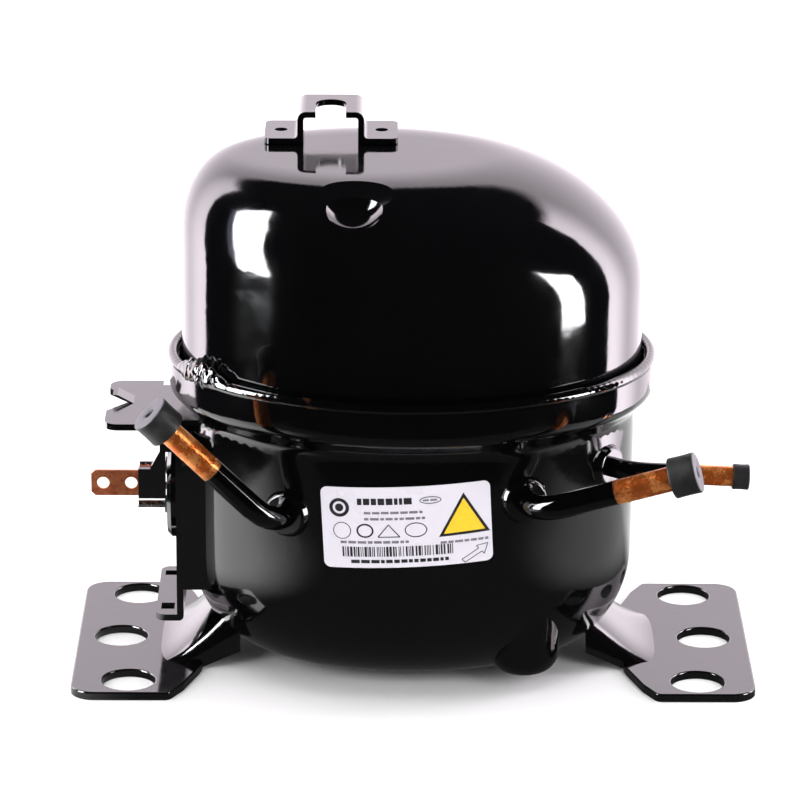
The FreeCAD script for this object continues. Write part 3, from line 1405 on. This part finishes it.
def suction_muffler():
    """Moulded chamber beside the cylinder, with a spout into the head."""
    body = new_body("suction_muffler")
    rounded_block(body, "XY", as_size(90), as_size(30), as_size(14.5), as_size(4), as_size(29),
                      14, -31.8)
    round_edges(body, 1.5, lambda box: box.ZLength < 1e-4 and box.ZMin > 118.9)
    arm = sketch_on(body, "XY", as_size(104))
    rectangle(arm, as_size(27), as_size(49), as_size(-29.5), as_size(-23.5))
    pad(body, arm, 8)
    spout = sketch_on(body, "XY", as_size(104))
    rectangle(spout, as_size(43.5), as_size(49), as_size(-24), as_size(-19.05))
    pad(body, spout, 8)
    inlet = sketch_on(body, "XZ", as_size(39))
    circle(inlet, 3, 6, 106)
    pocket(body, inlet, 12, backwards=True)
    return body


piece("suction_muffler", suction_muffler())

POT_X = shaft_x + 33
cap = turned_body("discharge_cap", [(as_size(r), as_size(z)) for r, z in (
    (0, 100.02), (11.5, 100.02), (11.5, 103), (8, 105.5), (2.1, 105.5), (2.1, 110), (0, 110))])
piece("discharge_cap", place(cap, POT_X, 29, 0))


def round_route(points, radius):
    """A wire of straight runs joined by tangent arcs."""
    edges = []
    start = points[0]
    for before, corner, after in zip(points, points[1:], points[2:]):
        into = (before - corner).normalize()
        out = (after - corner).normalize()
        half = into.getAngle(out) / 2
        setback = radius / math.tan(half)
        middle = corner + (into + out).normalize() * (radius / math.sin(half) - radius)
        arc_start, arc_end = corner + into * setback, corner + out * setback
        edges.append(Part.LineSegment(start, arc_start).toShape())
        edges.append(Part.Arc(arc_start, middle, arc_end).toShape())
        start = arc_end
    edges.append(Part.LineSegment(start, points[-1]).toShape())
    return Part.Wire(edges)


def rod_along(points, bend, radius, bore=0):
    """A rod or tube along a rounded route."""
    route = round_route(points, bend)
    direction = points[1] - points[0]
    ring = Part.Wire([Part.Circle(points[0], direction, radius).toShape()])
    rod = route.makePipeShell([ring], True, True)
    if bore:
        hollow = Part.Wire([Part.Circle(points[0], direction, bore).toShape()])
        rod = rod.cut(route.makePipeShell([hollow], True, True))
    return rod


wall_y, normal = wall_point(57.3)
inner_end = Vector(57.3, wall_y, 67.3) - normal * (mm("tube_root") + 0.05)
loop_points = [Vector(mm("shaft_x") + 33, 29, 110.05), Vector(mm("shaft_x") + 33, 29, 121),
               Vector(42, 33, 121), Vector(45.5, 29, 84), Vector(46, 2, 74),
               inner_end - normal * 9, inner_end]
piece("discharge_loop", shaped("discharge_loop", rod_along(loop_points, 4.5, 2.0, 1.3)))

# ------------------------------------------------------------------------------------- suspension
SPRING_PLACES = [(mm("shaft_x") + x, y) for x, y in four(mm("bolt_x"), mm("bolt_y"))]
RINGS_PER_TURN = 20


def coil(x, y):
    """One open coil spring, its wire drawn through rings set round the helix."""
    height = mm("spring_top") - mm("spring_bottom") - 2 * mm("spring_wire") - 0.1
    foot = mm("spring_bottom") + mm("spring_wire") + 0.05
    steps = int(mm("spring_turns")) * RINGS_PER_TURN
    rings = []
    for step in range(steps + 1):
        ring = Part.Wire([Part.Circle(Vector(mm("spring_radius"), 0, 0), Vector(0, 1, 0),
                                      mm("spring_wire")).toShape()])
        turned = FreeCAD.Rotation(Vector(0, 0, 1), 360.0 * step / RINGS_PER_TURN)
        ring.Placement = FreeCAD.Placement(Vector(x, y, foot + height * step / steps), turned)
        rings.append(ring)
    return Part.makeLoft(rings, True, True)


piece("suspension_springs", shaped("suspension_springs", Part.makeCompound(
    [coil(x, y) for x, y in SPRING_PLACES])))


def spring_seats(profile):
    """Four turned seats under or over the springs."""
    seats = []
    for x, y in SPRING_PLACES:
        wire = Part.makePolygon([Vector(r, 0, z) for r, z in profile + profile[:1]])
        seat = Part.Face(wire).revolve(Vector(), Vector(0, 0, 1), 360)
        seat.translate(Vector(x, y, 0))
        seats.append(seat)
    return seats


low_seat, high_seat = mm("spring_bottom"), mm("spring_top")
seat_r = mm("seat_radius")
guide_r = mm("spring_radius") - mm("spring_wire") - 0.4
cup_r = mm("bolt_head") / math.sqrt(3) + 0.15
lower_seats = [seat.common(bowl_solid(WALL + 0.02, mm("rim_top"))) for seat in spring_seats(
    [(0, 3), (seat_r, 3), (seat_r, low_seat), (guide_r, low_seat), (guide_r, low_seat + 1.8),
     (guide_r - 0.7, low_seat + 2.5), (0, low_seat + 2.5)])]
piece("lower_spring_seats", shaped("lower_spring_seats", Part.makeCompound(lower_seats)))
upper_seats = spring_seats([
    (0, high_seat - 3), (guide_r - 0.7, high_seat - 3), (guide_r, high_seat - 2.3),
    (guide_r, high_seat), (seat_r, high_seat), (seat_r, high_seat + 4.3), (cup_r, high_seat + 4.3),
    (cup_r, high_seat + 1.9), (0, high_seat + 1.9)])
piece("upper_spring_seats", shaped("upper_spring_seats", Part.makeCompound(upper_seats)))

# ----------------------------------------------------------------------------------------- wiring
connector = new_body("inner_connector")
rounded_block(connector, "YZ", dim("pin_tip") + dim("pin_length") - 6, as_size(26), as_size(19),
              as_size(3), as_size(7.2), 0, 52.5)
sockets = sketch_on(connector, "YZ", dim("pin_tip") + dim("pin_length") - 7)
for y, z in PIN_PLACES:
    circle(sockets, dim("pin_radius") + 0.05, as_size(y), as_size(z))
pocket(connector, sockets, 7.5, backwards=True)
piece("inner_connector", connector)

WIRE = 1.1
CONNECTOR_TOP = 62.02
leads = []
for y in (-8, 0, 8):
    leads.append(rod_along([Vector(-54.4, y, CONNECTOR_TOP), Vector(-54.4, y, 70),
                            Vector(-47, y * 0.9, 73.5), Vector(-39.8, y * 0.8, 73.5)], 2.2, WIRE))
piece("lead_wires", shaped("lead_wires", Part.makeCompound(leads)))


# ------------------------------------------------------------------------------------ check and write
doc.recompute()
faults = [item.Name for item in doc.Objects if {"Invalid", "Error"} & set(item.State)]
if faults:
    raise RuntimeError(f"failed objects: {faults}")
os.makedirs("parts", exist_ok=True)
for name, thing in PIECES.items():
    shape = thing.Shape
    if shape.isNull() or not shape.isValid() or not shape.Solids:
        raise RuntimeError(f"{name} has no sound solid")
    shape.exportStep(f"parts/{name}.step")
print(f"{len(PIECES)} pieces written")
